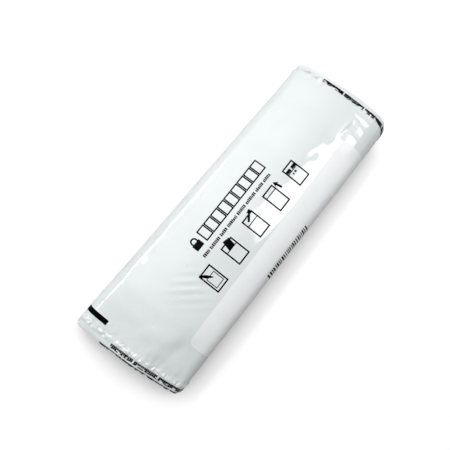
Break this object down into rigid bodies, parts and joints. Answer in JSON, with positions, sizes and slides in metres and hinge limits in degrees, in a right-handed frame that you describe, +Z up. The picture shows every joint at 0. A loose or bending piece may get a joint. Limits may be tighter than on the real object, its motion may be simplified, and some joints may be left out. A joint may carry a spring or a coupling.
{
  "type": "security envelope",
  "caption": "Empty tamper-evident plastic security envelope, rolled flat into a long puffy pack, with a matt write-on label wrapped over its lower fold.",
  "frame": {"origin": "middle of the pack's footprint, on the surface that it lies on", "axes": "+X along the bag's width, the pack's long side; +Y towards the bag's upper end on the top panel; +Z up through the layers"},
  "size_m": [0.26, 0.0895, 0.0264],
  "materials": {
    "film": "glossy white polyethylene film",
    "label": "matt white self-adhesive label",
    "adhesive": "pale grey pressure-sensitive adhesive",
    "liner": "cream siliconised release paper"
  },
  "bodies": {
    "root": {"envelope_film": "film", "write_on_label": "label", "closure_adhesive": "adhesive", "release_liner": "liner"}
  },
  "joints": []
}
